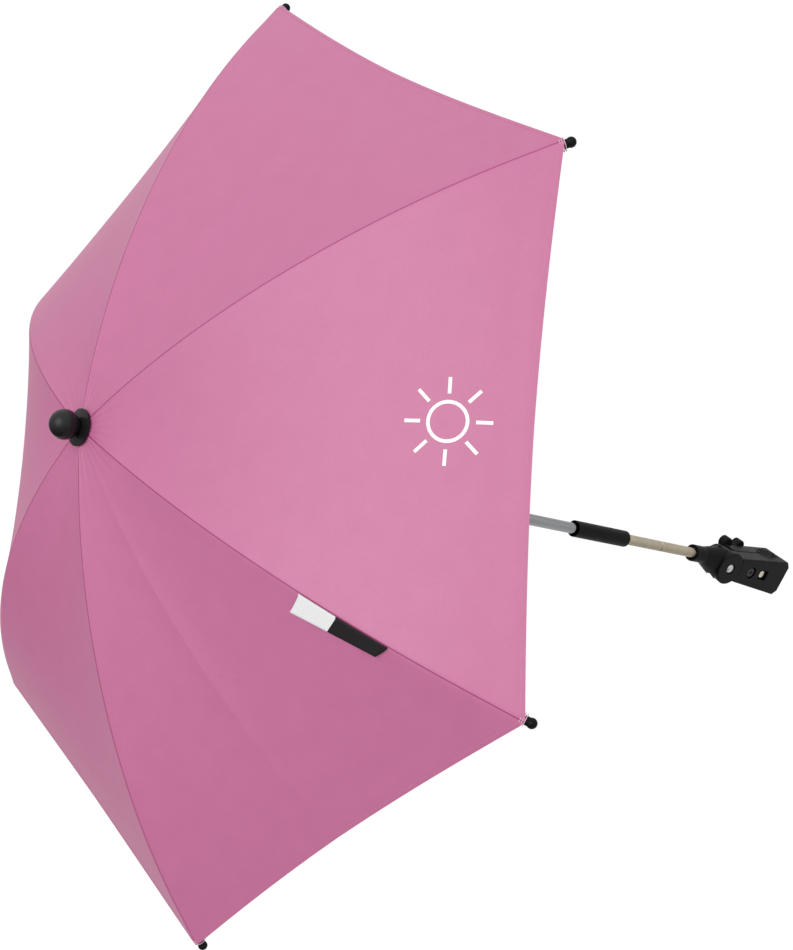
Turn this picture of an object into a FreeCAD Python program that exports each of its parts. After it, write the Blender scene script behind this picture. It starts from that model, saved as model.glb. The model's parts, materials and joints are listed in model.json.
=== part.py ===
# Pram parasol: a six-rib canopy on a chromed tube, with a bendable neck, a tilting head
# and a screw clamp for the pram's frame tube. Millimetres, +Z up the shaft, and the
# origin in the middle of the clamp's bore.
import FreeCAD, Part
import math
import os

import Sketcher
from FreeCAD import Placement, Rotation, Vector

RIB_COUNT = 6
NECK_RIBS = 25
KNOB_LOBES = 5
KNOB_PHASE = 36.0

SIZES = {
    # Canopy and its frame
    "span_radius": 350.0,
    "dome_height": 140.0,
    "ridge_bow": 30.8,
    "hinge_radius": 9.0,
    "hinge_drop": 7.2,
    "joint_radius": 190.0,
    "rib_width": 3.2,
    "rib_depth": 2.8,
    "rib_wall": 0.6,
    "eye_radius": 1.9,
    "eye_width": 1.6,
    "eye_arm": 12.0,
    "stretcher_width": 2.6,
    "stretcher_depth": 2.4,
    "fork_cheek": 0.7,
    "fork_gap": 0.35,
    "fork_slot": 10.0,
    "fork_root": 4.0,
    "pin_radius": 0.75,
    "pin_head_radius": 1.4,
    "pin_head": 0.6,
    "wire_radius": 0.6,
    "wire_clearance": 0.07,
    "tip_ball_radius": 3.4,
    "tip_collar_radius": 2.9,
    "tip_collar": 5.0,
    # Cloth
    "cloth_thickness": 0.6,
    "cloth_gap": 1.6,
    "cloth_hole": 7.0,
    "hem_bow": 4.5,
    "gore_sag": 6.5,
    "sector_gap": 0.4,
    "tag_length": 64.0,
    "tag_width": 17.0,
    "tag_thickness": 0.5,
    # Shaft, crown and runner
    "tube_radius": 5.0,
    "tube_wall": 0.75,
    "tube_below_canopy": 365.0,
    "tube_in_sleeve": 40.0,
    "crown_radius": 12.5,
    "crown_roof": 2.4,
    "crown_skirt": 7.0,
    "runner_radius": 12.5,
    "runner_barrel_radius": 8.4,
    "runner_barrel": 19.0,
    "runner_flange": 5.0,
    "slot_clearance": 0.5,
    "slide_clearance": 0.06,
    "seat_clearance": 0.05,
    "part_gap": 0.3,
    "cap_radius": 13.0,
    "cap_thickness": 3.0,
    "cap_rim": 1.2,
    "ball_radius": 10.4,
    "ball_sink": 1.6,
    "stem_length": 14.0,
    # Sprung catches
    "catch_width": 2.4,
    "catch_length": 20.0,
    "catch_nose": 14.0,
    "catch_proud": 2.0,
    "catch_back": 2.6,
    "catch_play": 2.0,
    "fold_angle": 63.0,
    # Sleeve and bendable neck
    "sleeve_radius": 7.5,
    "sleeve_length": 72.0,
    "sleeve_mouth_radius": 6.4,
    "sleeve_mouth": 6.0,
    "sleeve_round": 2.0,
    "neck_visible": 100.0,
    "neck_radius": 4.8,
    "neck_groove": 0.4,
    "neck_bore": 2.6,
    "neck_stub": 12.0,
    # Tilting head
    "socket_drop": 50.0,
    "socket_radius": 8.2,
    "socket_mouth_radius": 6.2,
    "socket_mouth": 8.0,
    "socket_flare": 34.0,
    "pivot_offset": 4.0,
    "head_radius": 17.0,
    "head_width": 28.0,
    "head_rear_radius": 14.0,
    "head_taper_end": 6.0,
    "tongue_radius": 15.0,
    "tongue_width": 9.0,
    "bolt_radius": 3.0,
    "bolt_head_radius": 4.6,
    "bolt_head": 1.8,
    "bolt_seat_radius": 5.6,
    "bolt_seat": 1.0,
    "nut_flats": 10.0,
    "nut_height": 5.0,
    "washer_radius": 8.0,
    # Clamp
    "clamp_tilt": 0.0,
    "bore_drop": 70.0,
    "bore_radius": 10.5,
    "pad_thickness": 1.2,
    "block_end": 90.0,
    "block_end_height": 37.0,
    "block_head_height": 26.0,
    "block_front": 13.5,
    "block_corner": 5.0,
    "block_edge": 1.2,
    "front_jaw": 17.5,
    "jaw_gap": 1.5,
    "rear_jaw": 14.5,
    "rear_jaw_start": 19.0,
    "screw_drop": 35.0,
    "screw_radius": 2.5,
    "screw_head_radius": 4.6,
    "screw_head": 2.4,
    "screw_recess_radius": 6.2,
    "screw_recess": 3.6,
    "cross_length": 5.6,
    "cross_width": 1.3,
    "cross_depth": 1.4,
    "guide_drop": 55.0,
    "guide_radius": 1.75,
    "guide_head_radius": 3.6,
    "guide_head": 3.0,
    "guide_depth": 2.2,
    "window_length": 13.0,
    "window_height": 10.0,
    "window_depth": 5.4,
    "knob_radius": 23.0,
    "knob_hub_radius": 15.0,
    "knob_lobe_radius": 6.0,
    "knob_height": 9.0,
    "knob_edge": 1.2,
    "insert_radius": 4.4,
    "insert_length": 6.0,
    "screw_tip_room": 1.6,
    # All cuts run past the faces they go through by this much
    "overrun": 2.0,
}

# Shares of the sizes that they follow
RIDGE_MIDDLE_SHARE = 0.5
NECK_CREST_SHARES = (0.0, 0.25, 0.5, 0.75)
TAG_START_SHARE = 0.612
BLOCK_START_SHARE = 0.5

doc = FreeCAD.newDocument("pram_parasol")
sheet = doc.addObject("Spreadsheet::Sheet", "Sizes")
for row, (alias, number) in enumerate(SIZES.items(), start=1):
    sheet.set(f"A{row}", alias)
    sheet.set(f"B{row}", str(number))
    sheet.setAlias(f"B{row}", alias)
doc.recompute()


class Length:
    """A size together with the spreadsheet formula that it comes from."""

    def __init__(self, value, text):
        self.value = float(value)
        self.text = text

    def __float__(self):
        return self.value

    def __add__(self, other):
        other = as_length(other)
        return Length(self.value + other.value, f"({self.text} + {other.text})")

    def __sub__(self, other):
        other = as_length(other)
        return Length(self.value - other.value, f"({self.text} - {other.text})")

    def __mul__(self, factor):
        return Length(self.value * factor, f"({self.text} * {factor})")

    def __truediv__(self, divisor):
        return Length(self.value / divisor, f"({self.text} / {divisor})")

    def __neg__(self):
        return self * -1


def as_length(value):
    return value if isinstance(value, Length) else Length(value, repr(float(value)))


class Bound:
    """The sheet's sizes, each one carrying its formula."""


class Plain:
    """The sheet's sizes as plain numbers, for shapes worked out in code."""


size = Bound()
n = Plain()
for alias in SIZES:
    number = float(sheet.get(alias))
    setattr(size, alias, Length(number, f"Sizes.{alias}"))
    setattr(n, alias, number)

ZERO = as_length(0)
X_AXIS = Vector(1, 0, 0)
Y_AXIS = Vector(0, 1, 0)
Z_AXIS = Vector(0, 0, 1)
nodes = {}


# Frames that the pieces are placed in

CLAMP_TURN = Rotation(Y_AXIS, n.clamp_tilt)
SPLIT_Y = n.front_jaw - n.block_front + n.jaw_gap / 2
PIVOT = CLAMP_TURN.multVec(Vector(0, -SPLIT_Y, n.bore_drop))
CLAMP_FRAME = Placement(PIVOT, CLAMP_TURN)
SHAFT = Vector(PIVOT.x + n.pivot_offset, PIVOT.y, 0)

MOUTH_Z = PIVOT.z + n.socket_drop
SLEEVE_Z = MOUTH_Z + n.neck_visible
SLEEVE_TOP_Z = SLEEVE_Z + n.sleeve_length
TIPS_Z = SLEEVE_TOP_Z + n.tube_below_canopy
APEX_Z = TIPS_Z + n.dome_height
HINGE_Z = APEX_Z - n.hinge_drop


def on_shaft(height):
    return Placement(SHAFT + Vector(0, 0, height), Rotation())


def round_shaft(angle, height=0.0):
    return Placement(SHAFT + Vector(0, 0, height), Rotation(Z_AXIS, angle))


def rib_angle(index):
    return -90.0 + 360.0 / RIB_COUNT * index


# Ways of making pieces

def bind(thing, **lengths):
    for prop, length in lengths.items():
        setattr(thing, prop, float(length))
        thing.setExpression(prop, as_length(length).text)
    return thing


def pin_down(sketch, axis_name, point, length):
    """Holds one sketch point at a signed distance from the sketch's origin."""
    if length.value == 0:
        line = -2 if axis_name == "DistanceX" else -1
        sketch.addConstraint(Sketcher.Constraint("PointOnObject", point, 1, line))
        return
    ends = (-1, 1, point, 1) if length.value > 0 else (point, 1, -1, 1)
    held = length if length.value > 0 else -length
    index = sketch.addConstraint(Sketcher.Constraint(axis_name, *ends, held.value))
    sketch.setExpression(f"Constraints[{index}]", held.text)


def outlined_body(name, outline, plane):
    """A body with a closed straight-sided sketch whose corners are tied to the sheet."""
    body = doc.addObject("PartDesign::Body", name)
    sketch = body.newObject("Sketcher::SketchObject", name + "_outline")
    origin = [item for item in body.Origin.OriginFeatures if item.Role == plane][0]
    sketch.AttachmentSupport = [(origin, "")]
    sketch.MapMode = "FlatFace"
    corners = [(as_length(x), as_length(y)) for x, y in outline]
    points = [Vector(x.value, y.value, 0) for x, y in corners]
    for index, point in enumerate(points):
        following = points[(index + 1) % len(points)]
        sketch.addGeometry(Part.LineSegment(point, following), False)
    for index in range(len(points)):
        following = (index + 1) % len(points)
        sketch.addConstraint(Sketcher.Constraint("Coincident", index, 2, following, 1))
    for index, (x, y) in enumerate(corners):
        pin_down(sketch, "DistanceX", index, x)
        pin_down(sketch, "DistanceY", index, y)
    return body, sketch


def turned(name, profile, placement):
    """A piece turned about its own Z axis from (radius, height) corners."""
    body, sketch = outlined_body(name, profile, "XZ_Plane")
    turn = body.newObject("PartDesign::Revolution", name + "_turn")
    turn.Profile = sketch
    turn.ReferenceAxis = (sketch, ["V_Axis"])
    turn.Angle = 360.0
    body.Placement = placement
    return body


def plate(name, outline, thickness, placement, plane="XZ_Plane"):
    """A flat piece padded from an outline, towards +Y on the XZ plane."""
    body, sketch = outlined_body(name, outline, plane)
    pad = body.newObject("PartDesign::Pad", name + "_pad")
    pad.Profile = sketch
    pad.Reversed = plane == "XZ_Plane"
    bind(pad, Length=thickness)
    body.Placement = placement
    return body


def rounded(body, radius, chosen):
    """Rounds the edges of a body that the given test picks out."""
    doc.recompute()
    tip = body.Tip
    picked = [f"Edge{i}" for i, edge in enumerate(tip.Shape.Edges, start=1) if chosen(edge)]
    fillet = body.newObject("PartDesign::Fillet", body.Name + "_round")
    fillet.Base = (tip, picked)
    bind(fillet, Radius=radius)
    return body


def rod(name, radius, length, base, axis=Z_AXIS):
    piece = doc.addObject("Part::Cylinder", name)
    bind(piece, Radius=radius, Height=length)
    piece.Placement = Placement(base, Rotation(Z_AXIS, axis))
    return piece


def block(name, length, width, height, placement):
    """A box with its first face on the local YZ plane, centred across Y and Z."""
    piece = doc.addObject("Part::Box", name)
    bind(piece, Length=length, Width=width, Height=height)
    shift = Placement(Vector(0, -float(width) / 2, -float(height) / 2), Rotation())
    piece.Placement = placement.multiply(shift)
    return piece


def ring(name, radius, thickness, placement):
    piece = doc.addObject("Part::Torus", name)
    bind(piece, Radius1=radius, Radius2=thickness)
    piece.Placement = placement
    return piece


def joined(name, pieces):
    whole = doc.addObject("Part::MultiFuse", name)
    whole.Shapes = pieces
    whole.Refine = True
    return whole


def cut(name, base, tools):
    whole = doc.addObject("Part::Cut", name)
    whole.Base = base
    whole.Tool = tools[0] if len(tools) == 1 else joined(name + "_tools", tools)
    whole.Refine = True
    return whole


def free_shape(name, shape, placement=None):
    piece = doc.addObject("Part::Feature", name)
    piece.Shape = shape
    if placement is not None:
        piece.Placement = placement
    return piece


def node(name, piece):
    piece.Label = name
    nodes[name] = piece


def in_clamp(x, y, drop):
    """A point of the clamp: across, front to back, and down from the pivot."""
    return CLAMP_FRAME.multVec(Vector(x, y, -drop))


CLAMP_Y = CLAMP_TURN.multVec(Y_AXIS)
CLAMP_X = CLAMP_TURN.multVec(X_AXIS)


def across_clamp(x, y, drop):
    """A frame at a point of the clamp, turned with it."""
    return Placement(in_clamp(x, y, drop), CLAMP_TURN)


# Clamp: the front jaw with its pivot tongue, and the sliding rear jaw

FRONT_Y = -n.block_front
SPLIT_FRONT = FRONT_Y + n.front_jaw
SPLIT_REAR = SPLIT_FRONT + n.jaw_gap
REAR_Y = SPLIT_REAR + n.rear_jaw
pad_outer = size.bore_radius + size.pad_thickness


def jaw_outline(start):
    """The clamp block seen from the front, from a given drop to its rounded end."""
    share = (float(start) - n.head_radius) / (n.block_end - n.head_radius)
    rise = size.block_end_height - size.block_head_height
    half_top = (size.block_head_height + rise * share) / 2
    half_end = size.block_end_height / 2
    corner = size.block_corner
    return [
        (-half_top, -start),
        (half_top, -start),
        (half_end, corner - size.block_end),
        (half_end - corner, -size.block_end),
        (corner - half_end, -size.block_end),
        (-half_end, corner - size.block_end),
    ]


def on_face(edge, y):
    return all(abs(vertex.Point.y - y) < 1e-6 for vertex in edge.Vertexes)


def moulded_jaw(name, start, thickness, shown_y, at_y):
    jaw = plate(name, jaw_outline(start), thickness, across_clamp(0, at_y, 0))
    return rounded(jaw, size.block_edge, lambda edge: on_face(edge, shown_y))


def bore_cut(name):
    length = size.block_end_height + size.overrun * 2
    start = in_clamp(-float(length) / 2, SPLIT_FRONT + n.jaw_gap / 2, n.bore_drop)
    return rod(name, pad_outer, length, start, CLAMP_X)


def through_y(name, radius, start_y, length, drop):
    return rod(name, radius, length, in_clamp(0, start_y, drop), CLAMP_Y)


block_start = size.tongue_radius * BLOCK_START_SHARE
front_blank = moulded_jaw("front_blank", block_start, size.front_jaw, 0.0, FRONT_Y)
cheek_reach = size.head_radius + size.part_gap
half_head = n.head_width / 2
half_tongue = n.tongue_width / 2
cheek_room = size.block_front + size.overrun - size.tongue_width / 2
front_cheek_cut = through_y(
    "front_cheek_cut", cheek_reach, FRONT_Y - n.overrun, cheek_room, 0.0
)
tongue = through_y("tongue", size.tongue_radius, -half_tongue, size.tongue_width, 0.0)
tongue_web = block(
    "tongue_web",
    size.rear_jaw_start - size.part_gap,
    size.tongue_width,
    size.block_head_height - size.block_edge * 4,
    Placement(in_clamp(0, 0, 0), CLAMP_TURN.multiply(Rotation(Y_AXIS, 90.0))),
)
front_shaped = cut("front_shaped", front_blank, [front_cheek_cut])
front_whole = joined("front_whole", [front_shaped, tongue, tongue_web])
screw_bore_length = size.block_front * 2 + size.rear_jaw + size.overrun * 4
deep_y = FRONT_Y - n.overrun
window = block(
    "window",
    size.window_depth + size.overrun,
    size.window_height,
    size.window_length,
    Placement(
        in_clamp(0, deep_y, n.guide_drop),
        CLAMP_TURN.multiply(Rotation(Z_AXIS, 90.0)),
    ),
)
node(
    "clamp_body",
    cut(
        "clamp_body",
        front_whole,
        [
            bore_cut("front_bore"),
            through_y("pivot_hole", size.bolt_radius + size.seat_clearance, deep_y,
                      screw_bore_length, 0.0),
            through_y("screw_hole", size.screw_radius + size.seat_clearance, deep_y,
                      screw_bore_length, n.screw_drop),
            through_y("screw_recess_cut", size.screw_recess_radius, deep_y,
                      size.screw_recess + size.overrun, n.screw_drop),
            through_y("guide_hole", size.guide_radius + size.seat_clearance, deep_y,
                      screw_bore_length, n.guide_drop),
            window,
        ],
    ),
)

rear_blank = moulded_jaw(
    "rear_blank", size.rear_jaw_start, size.rear_jaw, n.rear_jaw, SPLIT_REAR
)
node(
    "clamp_jaw",
    cut(
        "clamp_jaw",
        rear_blank,
        [
            bore_cut("rear_bore"),
            through_y("rear_screw_hole", size.screw_radius + size.slide_clearance, deep_y,
                      screw_bore_length, n.screw_drop),
            through_y("rear_guide_hole", size.guide_radius + size.slide_clearance, deep_y,
                      screw_bore_length, n.guide_drop),
        ],
    ),
)


def jaw_pad(name, face_y, towards):
    """A half-round rubber liner, cut back to its jaw's split face."""
    length = size.block_end_height - size.block_edge * 2
    middle = SPLIT_FRONT + n.jaw_gap / 2
    start = in_clamp(-float(length) / 2, middle, n.bore_drop)
    liner = cut(
        name + "_liner",
        rod(name + "_outer", pad_outer, length, start, CLAMP_X),
        [rod(name + "_inner", size.bore_radius, length, start, CLAMP_X)],
    )
    reach = pad_outer * 2
    turn = Rotation(Z_AXIS, 90.0 * towards)
    half = block(
        name + "_half",
        pad_outer,
        length + size.overrun,
        reach,
        Placement(in_clamp(0, face_y, n.bore_drop), CLAMP_TURN.multiply(turn)),
    )
    whole = doc.addObject("Part::Common", name)
    whole.Base = liner
    whole.Tool = half
    node(name, whole)


jaw_pad("jaw_pad_front", SPLIT_FRONT, -1)
jaw_pad("jaw_pad_rear", SPLIT_REAR, 1)

# Clamp screw, its three-lobed knob with a threaded insert, and the guide pin

HEAD_SEAT_Y = FRONT_Y + n.screw_recess
KNOB_Y = REAR_Y + n.part_gap


def cross_bar(name, angle, face_y):
    return block(
        name,
        size.cross_depth + size.overrun,
        size.cross_length,
        size.cross_width,
        Placement(
            in_clamp(0, face_y - n.overrun, n.screw_drop),
            CLAMP_TURN.multiply(Rotation(Z_AXIS, 90.0)).multiply(Rotation(X_AXIS, angle)),
        ),
    )


screw_face = HEAD_SEAT_Y - n.screw_head
screw_length = size.front_jaw + size.jaw_gap + size.rear_jaw + size.part_gap
screw_length = screw_length + size.insert_length - size.screw_recess + size.screw_head
screw_solid = joined(
    "screw_solid",
    [
        through_y("screw_cap", size.screw_head_radius, screw_face, size.screw_head,
                  n.screw_drop),
        through_y("screw_shank", size.screw_radius, screw_face, screw_length, n.screw_drop),
    ],
)
node(
    "clamp_screw",
    cut("clamp_screw", screw_solid,
        [cross_bar("cross_one", 0.0, screw_face), cross_bar("cross_two", 90.0, screw_face)]),
)

insert_hole = size.screw_radius + size.seat_clearance
node(
    "knob_insert",
    cut(
        "knob_insert",
        through_y("insert_solid", size.insert_radius, KNOB_Y, size.insert_length, n.screw_drop),
        [through_y("insert_bore", insert_hole, deep_y,
                   screw_bore_length + size.insert_length, n.screw_drop)],
    ),
)


def knob_shape():
    """Lobes on arms round a hub, with the edges of both faces rounded."""
    reach = n.knob_radius - n.knob_lobe_radius
    hub = Part.makeCylinder(n.knob_hub_radius, n.knob_height)
    shape = hub
    for lobe in range(KNOB_LOBES):
        angle = KNOB_PHASE + 360.0 / KNOB_LOBES * lobe
        turn = Rotation(Z_AXIS, angle)
        end = Part.makeCylinder(n.knob_lobe_radius, n.knob_height, turn.multVec(X_AXIS * reach))
        arm = Part.makeBox(reach, n.knob_lobe_radius * 2, n.knob_height,
                           Vector(0, -n.knob_lobe_radius, 0))
        arm.Placement = Placement(Vector(), turn)
        shape = shape.fuse(end).fuse(arm)
    shape = shape.removeSplitter()
    faces_z = (0.0, n.knob_height)
    rims = [e for e in shape.Edges
            if any(all(abs(v.Z - z) < 1e-6 for v in e.Vertexes) for z in faces_z)]
    shape = shape.makeFillet(n.knob_edge, rims)
    socket = Part.makeCylinder(n.insert_radius + n.seat_clearance, n.insert_length)
    tip_room = Part.makeCylinder(n.screw_radius + n.part_gap, n.insert_length + n.screw_tip_room)
    return shape.cut(socket).cut(tip_room)


knob_turn = CLAMP_TURN.multiply(Rotation(X_AXIS, -90.0))
node(
    "clamp_knob",
    free_shape("clamp_knob", knob_shape(), Placement(in_clamp(0, KNOB_Y, n.screw_drop), knob_turn)),
)

window_floor = FRONT_Y + n.window_depth
guide_length = size.front_jaw - size.window_depth + size.jaw_gap + size.rear_jaw
guide_length = guide_length - size.guide_depth + size.guide_head
guide_face = window_floor - n.guide_head
node(
    "guide_pin",
    joined(
        "guide_pin",
        [
            through_y("guide_cap", size.guide_head_radius, guide_face, size.guide_head,
                      n.guide_drop),
            through_y("guide_shank", size.guide_radius, guide_face, guide_length, n.guide_drop),
        ],
    ),
)

# Tilting head: a fork with a socket for the neck, on a bolt through the clamp's tongue


def head_blank_shape():
    """Socket tube that flares into a thick, slightly conical disc round the pivot."""
    offset = Vector(n.pivot_offset, 0, 0)
    disc = Part.makeCone(n.head_radius, n.head_rear_radius, n.head_width,
                         Vector(0, -half_head, 0), Y_AXIS)
    rims = [e for e in disc.Edges if isinstance(e.Curve, Part.Circle)]
    disc = disc.makeFillet(n.block_edge, rims)
    socket = Part.makeCylinder(
        n.socket_radius, n.socket_drop - n.socket_flare, offset + Vector(0, 0, n.socket_flare)
    )
    upper = Part.Circle(offset + Vector(0, 0, n.socket_flare), Z_AXIS, n.socket_radius)
    lower = Part.Ellipse(
        Vector(n.head_radius, 0, n.head_taper_end),
        Vector(0, half_head, n.head_taper_end),
        Vector(0, 0, n.head_taper_end),
    )
    wires = [Part.Wire(curve.toShape()) for curve in (lower, upper)]
    flare = Part.makeLoft(wires, True, True)
    return disc.fuse(flare).fuse(socket).removeSplitter()


def head_point(x, y, z):
    return PIVOT + Vector(x, y, z)


slot_reach = size.tongue_radius + size.part_gap
fork_slot_cut = block(
    "fork_slot_cut",
    slot_reach + size.head_radius + size.overrun,
    size.tongue_width + size.part_gap * 2,
    size.head_radius * 2 + size.overrun * 2,
    Placement(
        head_point(0, 0, n.tongue_radius + n.part_gap), Rotation(Y_AXIS, 90.0)
    ),
)
neck_fit = size.neck_radius + size.seat_clearance
socket_floor = MOUTH_Z - n.socket_mouth - n.neck_stub
bolt_front = -half_head + n.bolt_seat
node(
    "socket_head",
    cut(
        "socket_head",
        free_shape("head_blank", head_blank_shape(), Placement(PIVOT, Rotation())),
        [
            fork_slot_cut,
            rod("mouth_cut", size.socket_mouth_radius, size.socket_mouth + size.overrun,
                Vector(SHAFT.x, SHAFT.y, MOUTH_Z - n.socket_mouth)),
            rod("neck_seat", neck_fit, size.neck_stub + size.overrun,
                Vector(SHAFT.x, SHAFT.y, socket_floor)),
            rod("bolt_hole", size.bolt_radius + size.seat_clearance,
                size.head_width + size.overrun * 2,
                head_point(0, -half_head - n.overrun, 0), Y_AXIS),
            rod("bolt_seat_cut", size.bolt_seat_radius, size.bolt_seat + size.overrun,
                head_point(0, -half_head - n.overrun, 0), Y_AXIS),
        ],
    ),
)


def bolt_shape():
    """A domed head on a plain shank that ends flush with its nut."""
    length = n.head_width - n.bolt_seat + n.nut_height
    shank = Part.makeCylinder(n.bolt_radius, length)
    sphere_radius = (n.bolt_head_radius ** 2 + n.bolt_head ** 2) / (2 * n.bolt_head)
    dome = Part.makeSphere(sphere_radius, Vector(0, 0, sphere_radius - n.bolt_head))
    keep = Part.makeCylinder(n.bolt_head_radius, n.bolt_head, Vector(0, 0, -n.bolt_head))
    return shank.fuse(dome.common(keep)).removeSplitter()


bolt_turn = Rotation(X_AXIS, -90.0)
node(
    "pivot_bolt",
    free_shape("pivot_bolt", bolt_shape(), Placement(head_point(0, bolt_front, 0), bolt_turn)),
)


def hex_prism(flats, height):
    radius = flats / math.sqrt(3.0)
    corners = [Vector(radius * math.cos(math.radians(60.0 * i)),
                      radius * math.sin(math.radians(60.0 * i)), 0) for i in range(7)]
    return Part.Face(Part.makePolygon(corners)).extrude(Vector(0, 0, height))


nut_shape = hex_prism(n.nut_flats, n.nut_height).cut(
    Part.makeCylinder(n.bolt_radius + n.seat_clearance, n.nut_height)
)
node(
    "pivot_nut",
    free_shape("pivot_nut", nut_shape, Placement(head_point(0, half_head, 0), bolt_turn)),
)


def washer_pair():
    """Two thin friction washers that fill the fork's gaps beside the tongue."""
    thickness = n.part_gap - n.seat_clearance * 2
    made = []
    for start in (-half_tongue - n.part_gap, half_tongue + n.seat_clearance * 2):
        disc = Part.makeCylinder(n.washer_radius, thickness, Vector(0, start, 0), Y_AXIS)
        hole = Part.makeCylinder(
            n.bolt_radius + n.seat_clearance, thickness, Vector(0, start, 0), Y_AXIS
        )
        made.append(disc.cut(hole))
    return Part.makeCompound(made)


node("friction_washers", free_shape("friction_washers", washer_pair(), Placement(PIVOT, Rotation())))

# Bendable neck: a ribbed metal hose in two halves, one for each bend

NECK_LOW_Z = MOUTH_Z - n.socket_mouth - n.neck_stub
NECK_MID_Z = MOUTH_Z + n.neck_visible / 2
NECK_HIGH_Z = SLEEVE_Z + n.neck_stub
SECTION_RADII = (
    n.neck_radius - n.neck_groove, n.neck_radius, n.neck_radius, n.neck_radius - n.neck_groove
)


def ribbed_hose(plain_start, plain_end, rib_start, rib_end):
    """Ribs of four circles each between two heights, with a plain stretch at one end."""
    pitch = (rib_end - rib_start) / NECK_RIBS
    heights = []
    radii = []
    if plain_start < rib_start:
        heights.append(plain_start)
        radii.append(n.neck_radius)
        heights.append(rib_start - pitch * NECK_CREST_SHARES[1])
        radii.append(n.neck_radius)
    for rib in range(NECK_RIBS):
        for share, radius in zip(NECK_CREST_SHARES, SECTION_RADII):
            heights.append(rib_start + pitch * (rib + share))
            radii.append(radius)
    if plain_end > rib_end:
        heights.append(rib_end)
        radii.append(n.neck_radius)
        heights.append(plain_end)
        radii.append(n.neck_radius)
    wires = []
    for height, radius in zip(heights, radii):
        circle = Part.Circle(Vector(0, 0, height), Z_AXIS, radius)
        wires.append(Part.Wire(circle.toShape()))
    hose = Part.makeLoft(wires, True, True)
    low = heights[0]
    bore = Part.makeCylinder(n.neck_bore, heights[-1] - low, Vector(0, 0, low))
    return hose.cut(bore)


half_gap = n.part_gap / 2
node(
    "gooseneck_lower",
    free_shape(
        "gooseneck_lower",
        ribbed_hose(NECK_LOW_Z, NECK_MID_Z - half_gap, MOUTH_Z - n.socket_mouth,
                    NECK_MID_Z - half_gap),
        on_shaft(0.0),
    ),
)
node(
    "gooseneck_upper",
    free_shape(
        "gooseneck_upper",
        ribbed_hose(NECK_MID_Z + half_gap, NECK_HIGH_Z, NECK_MID_Z + half_gap, SLEEVE_Z),
        on_shaft(0.0),
    ),
)

# Sleeve between neck and tube, and the chromed tube with its catch windows

tube_fit = size.tube_radius + size.seat_clearance
tube_floor = size.sleeve_length - size.tube_in_sleeve
inner_bore = size.tube_radius - size.tube_wall
node(
    "joint_sleeve",
    turned(
        "joint_sleeve",
        [
            (neck_fit, ZERO),
            (size.sleeve_radius - size.sleeve_round, ZERO),
            (size.sleeve_radius, size.sleeve_round),
            (size.sleeve_radius, size.sleeve_length),
            (size.sleeve_mouth_radius, size.sleeve_length),
            (size.sleeve_mouth_radius, size.sleeve_length - size.sleeve_mouth),
            (tube_fit, size.sleeve_length - size.sleeve_mouth),
            (tube_fit, tube_floor),
            (inner_bore, tube_floor),
            (inner_bore, size.neck_stub + size.part_gap),
            (neck_fit, size.neck_stub + size.part_gap),
        ],
        on_shaft(SLEEVE_Z),
    ),
)

slot_top = size.eye_radius + size.slot_clearance
crown_height = size.crown_skirt + slot_top + size.crown_roof
CROWN_Z = HINGE_Z - n.crown_skirt
CROWN_TOP_Z = CROWN_Z + float(crown_height)
tube_base_z = SLEEVE_Z + float(tube_floor) + n.seat_clearance
tube_length = size.tube_in_sleeve - size.seat_clearance + size.tube_below_canopy
tube_length = tube_length + size.dome_height - size.hinge_drop + slot_top + size.crown_roof
plain_tube = turned(
    "plain_tube",
    [
        (inner_bore, ZERO),
        (size.tube_radius, ZERO),
        (size.tube_radius, tube_length),
        (inner_bore, tube_length),
    ],
    on_shaft(tube_base_z),
)


def circle_through(first, middle, last):
    circle = Part.Circle(first, middle, last)
    return circle.Center, circle.Radius


def ridge_line():
    """The fabric's ridge over a rib, as an arc in the rib's own upright plane."""
    apex = Vector(0, 0, n.dome_height)
    tip = Vector(n.span_radius, 0, 0)
    chord = tip - apex
    outward = Vector(-chord.z, 0, chord.x).normalize()
    middle = apex + chord * RIDGE_MIDDLE_SHARE + outward * n.ridge_bow
    return circle_through(apex, middle, tip)


RIDGE_CENTRE, RIDGE_RADIUS = ridge_line()


def on_circle(centre, radius, reach):
    """The point of a circle that lies a given way out from the shaft's axis."""
    rise = math.sqrt(radius ** 2 - (reach - centre.x) ** 2)
    return Vector(reach, 0, centre.z + rise)


def rib_line():
    """The rib's middle line: from the crown's hinge, under the fabric, to the tip ball."""
    hinge = Vector(n.hinge_radius, 0, n.dome_height - n.hinge_drop)
    under = n.cloth_thickness + n.cloth_gap + n.rib_depth / 2
    middle = on_circle(RIDGE_CENTRE, RIDGE_RADIUS - under, n.span_radius * RIDGE_MIDDLE_SHARE)
    tip = Vector(n.span_radius, 0, 0)
    return circle_through(hinge, middle, tip)


RIB_CENTRE, RIB_RADIUS = rib_line()
HINGE = Vector(n.hinge_radius, 0, n.dome_height - n.hinge_drop)
JOINT = on_circle(RIB_CENTRE, RIB_RADIUS, n.joint_radius)
RUNNER = Vector(n.hinge_radius, 0, 2 * JOINT.z - HINGE.z)
STRETCHER = (JOINT - HINGE).Length
RUNNER_Z = TIPS_Z + RUNNER.z

runner_low_z = RUNNER_Z - n.runner_flange - n.runner_barrel
flange_top = size.runner_barrel + size.runner_flange + slot_top + size.wire_radius
open_pitch = math.asin((HINGE.z - JOINT.z) / STRETCHER)
closed_pitch = open_pitch + math.radians(n.fold_angle)
RUNNER_TRAVEL = 2 * STRETCHER * (math.sin(closed_pitch) - math.sin(open_pitch))
closed_top_z = runner_low_z - RUNNER_TRAVEL + float(flange_top)
TOP_CATCH_Z = runner_low_z - n.catch_play - n.catch_nose
BOTTOM_CATCH_Z = closed_top_z + n.catch_play + n.catch_nose


def catch_window(name, height):
    return block(
        name,
        size.tube_radius + size.overrun,
        size.catch_width + size.part_gap * 2,
        size.catch_length,
        Placement(SHAFT + Vector(0, 0, height), Rotation()),
    )


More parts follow.
